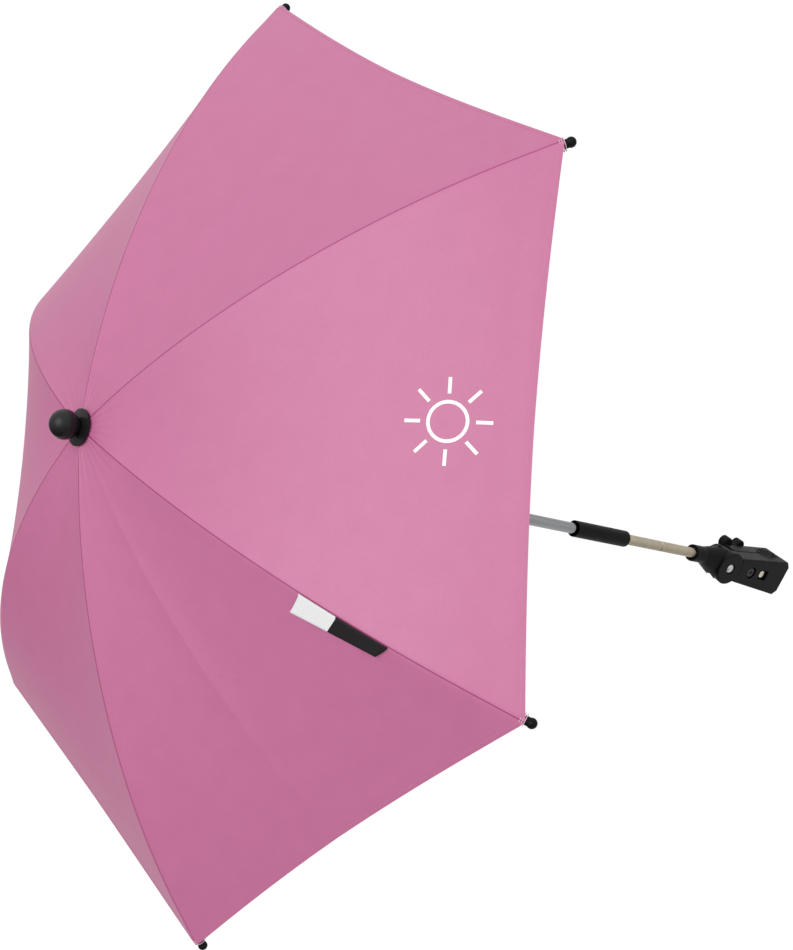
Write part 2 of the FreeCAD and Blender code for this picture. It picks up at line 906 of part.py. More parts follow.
half_catch = n.catch_length / 2
node(
    "shaft_tube",
    cut("shaft_tube", plain_tube,
        [catch_window("top_window", TOP_CATCH_Z + half_catch),
         catch_window("bottom_window", BOTTOM_CATCH_Z - half_catch)]),
)


def sprung_catch(name, height, turn):
    """A flat spring whose ramped nose stands out of the tube's window."""
    inside = inner_bore - size.part_gap
    back = inside - size.catch_back
    nose = size.tube_radius + size.catch_proud
    blade = plate(
        name,
        [
            (back, size.part_gap),
            (inside, size.part_gap),
            (nose, size.catch_nose - size.part_gap),
            (nose, size.catch_nose),
            (inside, size.catch_nose),
            (inside, size.catch_length - size.part_gap),
            (back, size.catch_length - size.part_gap),
        ],
        size.catch_width,
        Placement(
            SHAFT + Vector(0, 0, height) - turn.multVec(Y_AXIS * (n.catch_width / 2)), turn
        ),
    )
    node(name, blade)


sprung_catch("top_catch", TOP_CATCH_Z, Rotation())
sprung_catch("bottom_catch", BOTTOM_CATCH_Z, Rotation(X_AXIS, 180.0))

# Crown and runner, each with six slots and a ring wire

slot_width = size.rib_width + size.slot_clearance * 2
slot_inner = size.hinge_radius - size.eye_radius - size.slot_clearance


def hinge_slots(name, outer, low, high):
    """Six radial slots between two heights, wide enough for a rib or stretcher end."""
    made = []
    reach = outer - slot_inner + size.overrun
    for index in range(RIB_COUNT):
        middle = (float(low) + float(high)) / 2
        place = round_shaft(rib_angle(index), middle)
        start = place.multiply(Placement(Vector(float(slot_inner), 0, 0), Rotation()))
        made.append(block(f"{name}_{index + 1}", reach, slot_width, high - low, start))
    return made


crown_blank = turned(
    "crown_blank",
    [
        (tube_fit, ZERO),
        (size.crown_radius, ZERO),
        (size.crown_radius, crown_height),
        (tube_fit, crown_height),
    ],
    on_shaft(CROWN_Z),
)
wire_hole = size.wire_radius + size.seat_clearance
crown_low = as_length(CROWN_Z - n.overrun)
crown_slot_top = as_length(HINGE_Z) + slot_top
node(
    "crown",
    cut(
        "crown",
        crown_blank,
        hinge_slots("crown_slot", size.crown_radius, crown_low, crown_slot_top)
        + [ring("crown_groove", size.hinge_radius, wire_hole, on_shaft(HINGE_Z))],
    ),
)
node("crown_wire", ring("crown_wire", size.hinge_radius, size.wire_radius, on_shaft(HINGE_Z)))

slide_fit = size.tube_radius + size.slide_clearance
barrel_top = size.runner_barrel
runner_blank = turned(
    "runner_blank",
    [
        (slide_fit, ZERO),
        (size.runner_barrel_radius, ZERO),
        (size.runner_barrel_radius, barrel_top),
        (size.runner_radius, barrel_top),
        (size.runner_radius, flange_top),
        (slide_fit, flange_top),
    ],
    on_shaft(runner_low_z),
)
runner_slot_low = as_length(RUNNER_Z) - slot_top
runner_top = as_length(runner_low_z) + flange_top + size.overrun
catch_groove = block(
    "catch_groove",
    size.tube_radius + size.catch_proud + size.part_gap,
    size.catch_width + size.part_gap * 2,
    flange_top + size.overrun * 2,
    Placement(SHAFT + Vector(0, 0, runner_low_z + float(flange_top) / 2), Rotation()),
)
node(
    "runner",
    cut(
        "runner",
        runner_blank,
        hinge_slots("runner_slot", size.runner_radius, runner_slot_low, runner_top)
        + [
            ring("runner_groove", size.hinge_radius, wire_hole, on_shaft(RUNNER_Z)),
            catch_groove,
        ],
    ),
)
node("runner_wire", ring("runner_wire", size.hinge_radius, size.wire_radius, on_shaft(RUNNER_Z)))

# Top cap and ball finial

CAP_Z = APEX_Z + n.seat_clearance
stem_radius = inner_bore - size.seat_clearance
node(
    "top_cap",
    turned(
        "top_cap",
        [
            (stem_radius + size.seat_clearance, ZERO),
            (size.cap_radius, ZERO),
            (size.cap_radius, size.cap_rim),
            (size.cap_radius / 2, size.cap_thickness),
            (stem_radius + size.seat_clearance, size.cap_thickness),
        ],
        on_shaft(CAP_Z),
    ),
)
BALL_BASE_Z = CAP_Z + n.cap_thickness + n.seat_clearance


def ball_shape():
    """A ball with a flat foot and a stem that fits in the tube's end."""
    ball = Part.makeSphere(n.ball_radius, Vector(0, 0, n.ball_radius - n.ball_sink))
    room = Part.makeCylinder(n.ball_radius, n.ball_radius * 2)
    stem = Part.makeCylinder(float(stem_radius), n.stem_length, Vector(0, 0, -n.stem_length))
    return ball.common(room).fuse(stem).removeSplitter()


node("ball_knob", free_shape("ball_knob", ball_shape(), on_shaft(BALL_BASE_Z)))

# Ribs, stretchers, their pins and the ball tips


def across(radius, width, point):
    """A short cylinder across a rib's plane."""
    return Part.makeCylinder(radius, width, point - Vector(0, width / 2, 0), Y_AXIS)


def along(start, direction, length, width, depth):
    """A straight bar from a point, along a direction in a rib's plane."""
    bar = Part.makeBox(length, width, depth, Vector(0, -width / 2, -depth / 2))
    pitch = math.degrees(math.atan2(direction.z, direction.x))
    bar.Placement = Placement(start, Rotation(Y_AXIS, -pitch))
    return bar


def arc_direction(centre, point):
    """The way outwards along an arc that curves down from the crown."""
    arm = point - centre
    return Vector(arm.z, 0, -arm.x).normalize()


def rib_shape():
    """A channel rolled to the rib's arc, with an eye at the crown and a hole for its pin."""
    half = n.rib_width / 2
    top = n.rib_depth / 2
    inner = half - n.rib_wall
    roof = top - n.rib_wall
    section = [(-half, -top), (-half, top), (half, top), (half, -top),
               (inner, -top), (inner, roof), (-inner, roof), (-inner, -top), (-half, -top)]
    start = on_circle(RIB_CENTRE, RIB_RADIUS, n.hinge_radius + n.eye_radius * 2)
    outward = (start - RIB_CENTRE).normalize()
    corners = [start + Y_AXIS * y + outward * z for y, z in section]
    tip = Vector(n.span_radius, 0, 0)
    sweep = math.degrees((start - RIB_CENTRE).getAngle(tip - RIB_CENTRE))
    channel = Part.Face(Part.makePolygon(corners)).revolve(RIB_CENTRE, Y_AXIS, sweep)
    heading = arc_direction(RIB_CENTRE, HINGE)
    arm = along(HINGE, heading, n.eye_arm, n.eye_width, n.rib_depth - n.rib_wall)
    eye = across(n.eye_radius, n.eye_width, HINGE)
    rib = channel.fuse(arm).fuse(eye)
    rib = rib.cut(across(n.wire_radius + n.wire_clearance, n.rib_width, HINGE))
    rib = rib.cut(across(n.pin_radius + n.seat_clearance, n.rib_width * 2, JOINT))
    return rib.removeSplitter()


fork_width = n.rib_width + 2 * (n.fork_gap + n.fork_cheek)


def stretcher_shape():
    """A bar with a fork round the rib at one end and an eye for the runner at the other."""
    heading = (RUNNER - JOINT).normalize()
    fork_end = n.fork_slot + n.fork_root
    fork = along(JOINT, heading, fork_end, fork_width, n.stretcher_depth)
    nose = across(n.stretcher_depth / 2, fork_width, JOINT)
    bar_start = JOINT + heading * n.fork_slot
    bar = along(bar_start, heading, STRETCHER - n.fork_slot - n.eye_arm,
                n.stretcher_width, n.stretcher_depth)
    arm = along(RUNNER - heading * (n.eye_arm + n.eye_radius), heading,
                n.eye_arm + n.eye_radius, n.eye_width, n.stretcher_depth)
    eye = across(n.eye_radius, n.eye_width, RUNNER)
    whole = fork.fuse(nose).fuse(bar).fuse(arm).fuse(eye)
    slot_start = JOINT - heading * n.overrun
    slot = along(slot_start, heading, n.fork_slot + n.overrun,
                 n.rib_width + 2 * n.fork_gap, n.stretcher_depth + n.overrun)
    whole = whole.cut(slot)
    whole = whole.cut(across(n.pin_radius + n.slide_clearance, fork_width * 2, JOINT))
    whole = whole.cut(across(n.wire_radius + n.wire_clearance, n.rib_width, RUNNER))
    return whole.removeSplitter()


def pin_shape():
    """A rivet through the fork and the rib, with a flat head at each end."""
    grip = fork_width + n.fork_gap * 2
    shank = across(n.pin_radius, grip, JOINT)
    for side in (-1, 1):
        middle = JOINT + Y_AXIS * (side * (grip + n.pin_head) / 2)
        shank = shank.fuse(across(n.pin_head_radius, n.pin_head, middle))
    return shank.removeSplitter()


def tip_shape():
    """A ball with a collar that the rib's end is pushed into."""
    tip = Vector(n.span_radius, 0, 0)
    inward = arc_direction(RIB_CENTRE, tip) * -1
    ball = Part.makeSphere(n.tip_ball_radius, tip)
    collar = Part.makeCylinder(n.tip_collar_radius, n.tip_collar, tip, inward)
    fit = 2 * n.seat_clearance
    past = n.seat_clearance
    room = along(tip - inward * past, inward, n.tip_collar + n.overrun,
                 n.rib_width + fit, n.rib_depth + fit)
    return ball.fuse(collar).cut(room).removeSplitter()


# Cloth: a sector for each rib, from one mid-gore line to the next

HALF_GORE = 180.0 / RIB_COUNT
CLOTH_END = n.span_radius - n.tip_ball_radius - n.cloth_gap


def ridge_point(reach):
    """The top of the fabric over the rib: the measured ridge, held just above the rib."""
    over_rib = on_circle(RIB_CENTRE, RIB_RADIUS, reach)
    normal = (over_rib - RIB_CENTRE).normalize()
    lift = n.rib_depth / 2 + n.cloth_gap
    raised = over_rib + Vector(0, 0, lift / normal.z + n.cloth_thickness)
    ridge = on_circle(RIDGE_CENTRE, RIDGE_RADIUS, reach)
    return raised if raised.z > ridge.z else ridge


def gore_point(reach, pull, sag):
    """A point on the mid-gore line, pulled in along the slope and sagging below the chord."""
    over = ridge_point(reach)
    heading = arc_direction(RIDGE_CENTRE, over)
    out = reach * math.cos(math.radians(HALF_GORE)) - pull
    drop = over.z - sag - pull * heading.z / heading.x
    away = n.sector_gap / 2
    angle = math.radians(HALF_GORE)
    return Vector(out * math.cos(angle) + away * math.sin(angle),
                  out * math.sin(angle) - away * math.cos(angle), drop)


def sector_shape():
    """Two ruled sheets that meet on the ridge, given the cloth's thickness."""
    middle_reach = (n.cloth_hole + CLOTH_END) * RIDGE_MIDDLE_SHARE
    reaches = (n.cloth_hole, middle_reach, CLOTH_END)
    pulls = (0.0, 0.0, n.hem_bow)
    sags = (0.0, n.gore_sag, 0.0)
    ridge = Part.Arc(*[ridge_point(reach) for reach in reaches]).toShape()
    gore_points = [gore_point(*item) for item in zip(reaches, pulls, sags)]
    halves = []
    for side in (1, -1):
        points = [Vector(p.x, p.y * side, p.z) for p in gore_points]
        gore = Part.Arc(*points).toShape()
        sheet_face = Part.makeRuledSurface(ridge, gore)
        halves.append(sheet_face.extrude(Vector(0, 0, -n.cloth_thickness)))
    return halves[0].fuse(halves[1]).removeSplitter()


def tag_shape():
    """A flat sewn tag that lies on the gore beside the ridge."""
    start = ridge_point(n.span_radius * TAG_START_SHARE)
    end = ridge_point(start.x + n.tag_length * arc_direction(RIDGE_CENTRE, start).x)
    run = (end - start).normalize()
    gore = gore_point(start.x, 0.0, n.gore_sag)
    slope = (Vector(gore.x, -gore.y, gore.z) - start).normalize()
    lift = slope.cross(run).normalize()
    bulge = n.tag_length ** 2 / (8 * RIDGE_RADIUS)
    base = start + lift * (n.part_gap + bulge) + slope * n.part_gap
    far = base + run * n.tag_length
    drop = slope * n.tag_width
    corners = [base, far, far + drop, base + drop, base]
    return Part.Face(Part.makePolygon(corners)).extrude(lift * n.tag_thickness)


RIB = rib_shape()
STRETCHER_SOLID = stretcher_shape()
PIN = pin_shape()
TIP = tip_shape()
SECTOR = sector_shape()
for index in range(RIB_COUNT):
    place = round_shaft(rib_angle(index), TIPS_Z)
    number = index + 1
    node(f"rib_{number}", free_shape(f"rib_{number}", RIB, place))
    node(f"stretcher_{number}", free_shape(f"stretcher_{number}", STRETCHER_SOLID, place))
    node(f"rib_pin_{number}", free_shape(f"rib_pin_{number}", PIN, place))
    node(f"tip_ball_{number}", free_shape(f"tip_ball_{number}", TIP, place))
    node(f"canopy_sector_{number}", free_shape(f"canopy_sector_{number}", SECTOR, place))
node("side_tag", free_shape("side_tag", tag_shape(), round_shaft(rib_angle(0), TIPS_Z)))

# Test every object, then write one file for each node

doc.recompute()
for thing in doc.Objects:
    if "Invalid" in thing.State or "Error" in thing.State:
        raise RuntimeError(f"{thing.Name} failed: {thing.State}")
for name, piece in nodes.items():
    if piece.Shape.isNull() or not piece.Shape.isValid():
        raise RuntimeError(f"{name} has no valid shape")

os.makedirs("parts", exist_ok=True)
for name, piece in nodes.items():
    piece.Shape.exportStep(f"parts/{name}.step")

print("pivot", tuple(PIVOT), "shaft", SHAFT.x, SHAFT.y)
print("heights", MOUTH_Z, NECK_MID_Z, SLEEVE_Z, SLEEVE_TOP_Z, TIPS_Z, APEX_Z)
print("hinge", tuple(HINGE), "joint", tuple(JOINT), "runner", tuple(RUNNER), "length", STRETCHER)
print("travel", RUNNER_TRAVEL, "catches", TOP_CATCH_Z, BOTTOM_CATCH_Z, "knob", KNOB_Y)
print("nodes", len(nodes))
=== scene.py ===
"""A clip-on pram parasol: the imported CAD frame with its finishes, bendable neck and cloth."""

import json
import math

import bmesh
import bpy
from mathutils import Matrix, Vector


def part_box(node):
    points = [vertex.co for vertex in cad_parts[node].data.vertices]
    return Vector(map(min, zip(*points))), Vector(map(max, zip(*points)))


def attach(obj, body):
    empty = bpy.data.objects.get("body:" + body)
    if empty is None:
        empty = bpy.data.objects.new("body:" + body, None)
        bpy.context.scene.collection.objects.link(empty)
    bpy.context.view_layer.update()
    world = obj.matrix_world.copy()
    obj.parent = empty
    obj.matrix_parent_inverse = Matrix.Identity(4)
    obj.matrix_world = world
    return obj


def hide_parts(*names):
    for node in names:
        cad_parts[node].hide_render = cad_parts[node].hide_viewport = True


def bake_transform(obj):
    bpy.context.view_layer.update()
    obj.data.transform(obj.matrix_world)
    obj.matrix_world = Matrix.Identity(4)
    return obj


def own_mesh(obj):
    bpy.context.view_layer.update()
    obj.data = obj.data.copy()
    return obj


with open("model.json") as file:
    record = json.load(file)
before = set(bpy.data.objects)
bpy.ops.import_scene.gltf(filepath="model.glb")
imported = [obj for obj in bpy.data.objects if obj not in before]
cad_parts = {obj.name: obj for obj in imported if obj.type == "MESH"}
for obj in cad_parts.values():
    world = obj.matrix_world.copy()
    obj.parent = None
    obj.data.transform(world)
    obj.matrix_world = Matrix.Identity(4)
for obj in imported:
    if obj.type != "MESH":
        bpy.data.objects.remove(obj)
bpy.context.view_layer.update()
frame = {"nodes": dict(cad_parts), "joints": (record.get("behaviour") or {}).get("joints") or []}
MM = 0.001
MERGE_GAP = 0.001 * MM
NOISE_LOW = 0.3
NOISE_HIGH = 0.7


# Finishes: each material of the part is one Principled shader, with noise in its colour,
# roughness or bump.
class Finish:
    """A node material with one Principled shader, and short ways to add detail to it."""

    def __init__(self, name, colour, roughness, metallic=0.0):
        self.material = bpy.data.materials.new(name)
        self.material.use_nodes = True
        self.nodes = self.material.node_tree.nodes
        self.links = self.material.node_tree.links
        self.shader = self.nodes["Principled BSDF"]
        self.shader.inputs["Base Color"].default_value = (*colour, 1.0)
        self.shader.inputs["Roughness"].default_value = roughness
        self.shader.inputs["Metallic"].default_value = metallic
        self.place = self.nodes.new("ShaderNodeTexCoord").outputs["Object"]

    def noise(self, scale, detail=3.0, stretch=(1.0, 1.0, 1.0)):
        """Cloudy noise on the piece's own place, stretched along an axis for drawn metal."""
        mapping = self.nodes.new("ShaderNodeMapping")
        mapping.inputs["Scale"].default_value = stretch
        self.links.new(self.place, mapping.inputs["Vector"])
        noise = self.nodes.new("ShaderNodeTexNoise")
        noise.inputs["Scale"].default_value = scale
        noise.inputs["Detail"].default_value = detail
        self.links.new(mapping.outputs["Vector"], noise.inputs["Vector"])
        return noise.outputs["Fac"]

    def spread(self, value, low, high):
        """The noise's usual range spread over a range of numbers."""
        node = self.nodes.new("ShaderNodeMapRange")
        node.inputs["From Min"].default_value = NOISE_LOW
        node.inputs["From Max"].default_value = NOISE_HIGH
        node.inputs["To Min"].default_value = low
        node.inputs["To Max"].default_value = high
        self.links.new(value, node.inputs["Value"])
        return node.outputs["Result"]

    def tint(self, value, first, second):
        """A colour between two, by the value."""
        node = self.nodes.new("ShaderNodeMix")
        node.data_type = "RGBA"
        self.links.new(value, node.inputs["Factor"])
        colour_in = [socket for socket in node.inputs if socket.type == "RGBA"]
        for socket, colour in zip(colour_in, (first, second)):
            if hasattr(colour, "is_output"):
                self.links.new(colour, socket)
            else:
                socket.default_value = (*colour, 1.0)
        return [socket for socket in node.outputs if socket.type == "RGBA"][0]

    def math(self, kind, first, second=0.0):
        """One step of arithmetic on sockets or numbers."""
        node = self.nodes.new("ShaderNodeMath")
        node.operation = kind
        for socket, value in zip(node.inputs, (first, second)):
            if hasattr(value, "is_output"):
                self.links.new(value, socket)
            else:
                socket.default_value = value
        return node.outputs["Value"]

    def colour_from(self, socket):
        self.links.new(socket, self.shader.inputs["Base Color"])

    def roughness_from(self, socket):
        self.links.new(socket, self.shader.inputs["Roughness"])

    def bump_from(self, socket, strength, depth):
        bump = self.nodes.new("ShaderNodeBump")
        bump.inputs["Strength"].default_value = strength
        bump.inputs["Distance"].default_value = depth
        self.links.new(socket, bump.inputs["Height"])
        self.links.new(bump.outputs["Normal"], self.shader.inputs["Normal"])


def dress(finish, *names):
    """Gives CAD nodes their finish, through their objects' material slots."""
    for name in names:
        for slot in frame["nodes"][name].material_slots:
            slot.material = finish.material


# Clamp: a split block of black moulded plastic with a loose rear jaw. A five-lobed knob
# draws the jaw in along a steel screw, and thin rubber pads grip the pram's tube.
black_plastic = Finish("satin_black_plastic", (0.010, 0.010, 0.011), roughness=0.42)
cloud = black_plastic.noise(90.0)
grain = black_plastic.noise(1400.0, detail=2.0)
black_plastic.colour_from(black_plastic.tint(cloud, (0.003, 0.003, 0.004), (0.007, 0.007, 0.008)))
black_plastic.roughness_from(black_plastic.spread(cloud, 0.36, 0.50))
black_plastic.bump_from(grain, strength=0.25, depth=0.05 * MM)
black_plastic.shader.inputs["Specular IOR Level"].default_value = 0.1

rubber = Finish("grip_rubber", (0.03, 0.03, 0.031), roughness=0.8)
rubber_cloud = rubber.noise(160.0)
rubber.colour_from(rubber.tint(rubber_cloud, (0.024, 0.024, 0.025), (0.040, 0.040, 0.041)))
rubber.bump_from(rubber.noise(900.0), strength=0.4, depth=0.1 * MM)

bright_steel = Finish("plated_steel", (0.62, 0.62, 0.63), roughness=0.28, metallic=1.0)
steel_cloud = bright_steel.noise(140.0)
bright_steel.colour_from(bright_steel.tint(steel_cloud, (0.56, 0.56, 0.57), (0.68, 0.68, 0.68)))
bright_steel.roughness_from(bright_steel.spread(steel_cloud, 0.22, 0.36))

brass = Finish("turned_brass", (0.66, 0.47, 0.20), roughness=0.32, metallic=1.0)
brass_cloud = brass.noise(200.0)
brass.colour_from(brass.tint(brass_cloud, (0.58, 0.40, 0.16), (0.72, 0.53, 0.25)))

black_steel = Finish("black_oxide_steel", (0.05, 0.05, 0.052), roughness=0.45, metallic=0.6)
oxide_cloud = black_steel.noise(220.0)
oxide_tint = black_steel.tint(oxide_cloud, (0.035, 0.035, 0.037), (0.065, 0.065, 0.067))
black_steel.colour_from(oxide_tint)
black_steel.roughness_from(black_steel.spread(oxide_cloud, 0.38, 0.55))

nickel = Finish("warm_nickel", (0.80, 0.72, 0.56), roughness=0.3, metallic=1.0)
nickel_cloud = nickel.noise(110.0)
nickel.colour_from(nickel.tint(nickel_cloud, (0.70, 0.62, 0.46), (0.90, 0.82, 0.66)))
nickel.roughness_from(nickel.spread(nickel_cloud, 0.24, 0.40))

dress(black_plastic, "clamp_body", "clamp_jaw", "clamp_knob")
dress(rubber, "jaw_pad_front", "jaw_pad_rear")
dress(black_steel, "clamp_screw")
dress(brass, "knob_insert")
dress(nickel, "guide_pin")


# Tilting head: a moulded socket whose fork turns on a domed steel bolt through the clamp's
# tongue, with friction washers that hold the angle it is set to.
dress(black_plastic, "socket_head")
dress(bright_steel, "pivot_bolt", "pivot_nut", "friction_washers")


# Bendable neck: a hose wound from nickel-plated strip, which shows as fine rings. It is
# crimped into the head below and into the sleeve above, and bends in both directions.
NECK_RADIUS = 4.8 * MM
NECK_GROOVE = 0.5 * MM
RING_PITCH = 1.6 * MM
# Points of one ring: how far along its pitch, and how deep in the groove.
RING_PROFILE = ((0.0, 1.0), (0.2, 0.2), (0.5, 0.0), (0.8, 0.2))
AROUND_NECK = 40

neck_metal = Finish("wound_nickel_strip", (0.51, 0.45, 0.345), roughness=0.3, metallic=1.0)
neck_cloud = neck_metal.noise(120.0)
neck_metal.colour_from(neck_metal.tint(neck_cloud, (0.40, 0.35, 0.26), (0.62, 0.55, 0.43)))
neck_metal.roughness_from(neck_metal.spread(neck_cloud, 0.24, 0.42))
neck_scratches = neck_metal.noise(400.0, detail=2.0, stretch=(1.0, 1.0, 8.0))
neck_metal.bump_from(neck_scratches, strength=0.15, depth=0.05 * MM)


def object_from(name, mesh_builder, finish, smooth=True):
    """Closes a bmesh into an object at the origin, with its finish."""
    mesh = bpy.data.meshes.new(name)
    mesh_builder.to_mesh(mesh)
    mesh_builder.free()
    mesh.materials.append(finish.material)
    mesh.polygons.foreach_set("use_smooth", [smooth] * len(mesh.polygons))
    piece = bpy.data.objects.new(name, mesh)
    bpy.context.scene.collection.objects.link(piece)
    return piece


def ringed_hose(name, node_name):
    """A hose of rounded rings, spun from its outline to fill the CAD node's length."""
    low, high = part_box(node_name)
    centre = (low + high) / 2
    rings = round((high.z - low.z) / RING_PITCH)
    pitch = (high.z - low.z) / rings
    outline = [(0.0, 0.0)]
    for ring in range(rings):
        foot = ring * pitch
        for along, depth in RING_PROFILE:
            outline.append((NECK_RADIUS - NECK_GROOVE * depth, foot + pitch * along))
    outline.append((NECK_RADIUS - NECK_GROOVE, high.z - low.z))
    outline.append((0.0, high.z - low.z))
    hose = bmesh.new()
    points = [hose.verts.new((centre.x + r, centre.y, low.z + z)) for r, z in outline]
    edges = [hose.edges.new(pair) for pair in zip(points, points[1:])]
    bmesh.ops.spin(hose, geom=points + edges, cent=centre, axis=(0, 0, 1),
                   angle=math.tau, steps=AROUND_NECK, use_merge=True)
    bmesh.ops.remove_doubles(hose, verts=hose.verts, dist=MERGE_GAP)
    bmesh.ops.recalc_face_normals(hose, faces=hose.faces)
    piece = object_from(name, hose, neck_metal)
    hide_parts(node_name)
    return piece


neck_lower = ringed_hose("neck_lower", "gooseneck_lower")
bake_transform(neck_lower)
neck_upper = ringed_hose("neck_upper", "gooseneck_upper")
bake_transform(neck_upper)


# Shaft: a chromed steel tube pressed into a black plastic sleeve, with a notched crown at the
# top and a sliding runner below it. Two sprung steel catches hold the runner.
chrome = Finish("chromed_tube", (0.32, 0.33, 0.34), roughness=0.12, metallic=1.0)
chrome_streak = chrome.noise(300.0, detail=2.0, stretch=(1.0, 1.0, 0.04))
chrome.colour_from(chrome.tint(chrome_streak, (0.22, 0.23, 0.24), (0.42, 0.43, 0.44)))
chrome.roughness_from(chrome.spread(chrome_streak, 0.08, 0.2))
dress(black_plastic, "joint_sleeve", "crown", "runner")
dress(chrome, "shaft_tube")
dress(bright_steel, "top_catch", "bottom_catch", "crown_wire", "runner_wire")


# Ribs and stretchers: the ribs are channels rolled from black painted steel, and each stretcher
# is a bar with a fork pinned to its rib. Wire rings thread their eyes at the crown and the
# runner, and a moulded ball closes each rib.
RIB_COUNT = 6
rib_steel = Finish("painted_rib_steel", (0.03, 0.03, 0.032), roughness=0.36)
rib_cloud = rib_steel.noise(120.0)
rib_steel.colour_from(rib_steel.tint(rib_cloud, (0.020, 0.020, 0.022), (0.042, 0.042, 0.044)))
rib_steel.roughness_from(rib_steel.spread(rib_cloud, 0.28, 0.46))
rib_steel.bump_from(rib_steel.noise(600.0, detail=2.0), strength=0.15, depth=0.05 * MM)
for number in range(1, RIB_COUNT + 1):
    dress(rib_steel, f"rib_{number}", f"stretcher_{number}")
    dress(bright_steel, f"rib_pin_{number}")
    dress(black_plastic, f"tip_ball_{number}")


# Canopy: six triangular gores of thin pink polyester, sewn together over the ribs and
# stretched by them, with a narrow stitched hem. Here each piece is the cloth round one rib.
SPAN_RADIUS = 350.0 * MM
DOME_HEIGHT = 140.0 * MM
RIDGE_BOW = 30.8 * MM
HINGE_REACH = 9.0 * MM
HINGE_DROP = 7.2 * MM
CLOTH_HOLE = 7.0 * MM
CLOTH_EDGE = 349.3 * MM
CLOTH_SEAT = 3.3 * MM
COLLAR_RISE = 0.5 * MM
COLLAR_LENGTH = 12.0 * MM
COLLAR_INSET = 5.0 * MM
RIDGE_BLEND = 1.0 * MM
RIB_BELOW_RIDGE = 3.6 * MM
SEAM_HALF = 1.8 * MM
MOST_SEAM_SHARE = 0.3
SEAM_SPREAD = 0.433
GORE_SPREAD = math.sqrt(3.0) / 4.0
GORE_HALF = 0.5
MID_GORE_DRAW = 0.25
HEM_BOW = 4.5 * MM
DEEP_HEM_BOW = 7.5 * MM
HEM_WIDTH = 3.0 * MM
HEM_STITCH = HEM_WIDTH * 0.8
HEM_RISE = 0.3 * MM
GORE_SAG = 6.5 * MM
GATHER_HEIGHT = 0.6 * MM
GATHER_REACH = 30.0 * MM
GATHER_COUNT = 3
CREASE_HEIGHT = 1.6 * MM
CREASE_WIDTH = 7.0 * MM
CLOTH_THICKNESS = 0.35 * MM
RIDGE_ROWS = 60
HEM_ROWS = 8
GORE_COLUMNS = 22
COLUMN_POWER = 1.5
FLAT_STRETCH = 1.1
HEM_STRETCH = 1.2
SHARP_ANGLE = 50.0
FIRST_RIB_ANGLE = -90.0
RIB_STEP = 360.0 / RIB_COUNT
# Halves of gores, each as a rib's number and the side of it.
DEEP_GORES = ((2, 1), (3, -1))
CREASED_GORES = ((1, -1), (6, 1), (2, 1), (3, -1))


def circle_through(first, second, third):
    """The centre and radius of the circle through three points of a plane."""
    ax, az = first
    bx, bz = second
    cx, cz = third
    turn = 2 * (ax * (bz - cz) + bx * (cz - az) + cx * (az - bz))
    a2 = ax * ax + az * az
    b2 = bx * bx + bz * bz
    c2 = cx * cx + cz * cz
    x = (a2 * (bz - cz) + b2 * (cz - az) + c2 * (az - bz)) / turn
    z = (a2 * (cx - bx) + b2 * (ax - cx) + c2 * (bx - ax)) / turn
    return (x, z), math.hypot(ax - x, az - z)


chord = math.hypot(SPAN_RADIUS, DOME_HEIGHT)
ridge_middle = (SPAN_RADIUS / 2 + RIDGE_BOW * DOME_HEIGHT / chord,
                DOME_HEIGHT / 2 + RIDGE_BOW * SPAN_RADIUS / chord)
ridge_centre, ridge_radius = circle_through((0.0, DOME_HEIGHT), ridge_middle, (SPAN_RADIUS, 0.0))


def height_on(centre, radius, reach):
    """The height of a circle's upper half at a reach."""
    return centre[1] + math.sqrt(radius ** 2 - (reach - centre[0]) ** 2)


rib_middle = (SPAN_RADIUS / 2,
              height_on(ridge_centre, ridge_radius - RIB_BELOW_RIDGE, SPAN_RADIUS / 2))
rib_centre, rib_radius = circle_through(
    (HINGE_REACH, DOME_HEIGHT - HINGE_DROP), rib_middle, (SPAN_RADIUS, 0.0))


def ridge_height(reach):
    """The cloth's height along the seam: the arc of the ridge, held off the rib at its end."""
    arc = height_on(ridge_centre, ridge_radius, reach)
    to_collar = min(1.0, max(0.0, 1.0 - (SPAN_RADIUS - COLLAR_INSET - reach) / COLLAR_LENGTH))
    seat = CLOTH_SEAT + COLLAR_RISE * to_collar ** 2 * (3.0 - 2.0 * to_collar)
    seated = height_on(rib_centre, rib_radius + seat, reach)
    return (arc + seated + math.hypot(arc - seated, RIDGE_BLEND)) / 2


def cloth_point(reach, across, creases=(), deep=()):
    """A point of the cloth in its rib's own plane, from -1 to 1 between two mid-gore lines."""
    share = abs(across)
    side = math.copysign(1.0, across)
    along = (reach - CLOTH_HOLE) / (CLOTH_EDGE - CLOTH_HOLE)
    droop = 1.0 - (1.0 - share) ** 2
    seam_share = min(SEAM_HALF / (SEAM_SPREAD * reach), MOST_SEAM_SHARE)
    fall = max(0.0, share - seam_share) / (1.0 - seam_share)
    x = reach * (1.0 - MID_GORE_DRAW * fall)
    y = side * reach * GORE_SPREAD * share
    past_centre = reach - ridge_centre[0]
    steep = past_centre / math.sqrt(ridge_radius ** 2 - past_centre ** 2)
    pull = (DEEP_HEM_BOW if side in deep else HEM_BOW) * droop * along ** 3
    inward = 1.0 - pull / math.hypot(x, y)
    z = ridge_height(reach) + pull * steep
    z -= GORE_SAG * droop * math.sin(math.pi * along)
    gather = math.exp(-(reach - CLOTH_HOLE) / GATHER_REACH)
    z -= GATHER_HEIGHT * gather * (1.0 - math.cos(math.tau * GATHER_COUNT * share)) / 2
    if side in creases:
        from_middle = reach * GORE_HALF * (1.0 - share)
        z += CREASE_HEIGHT * math.exp(-from_middle / CREASE_WIDTH) * math.sin(math.pi * along)
    if CLOTH_EDGE - reach < HEM_STITCH:
        z += HEM_RISE
    return Vector((x * inward, y * inward, z))


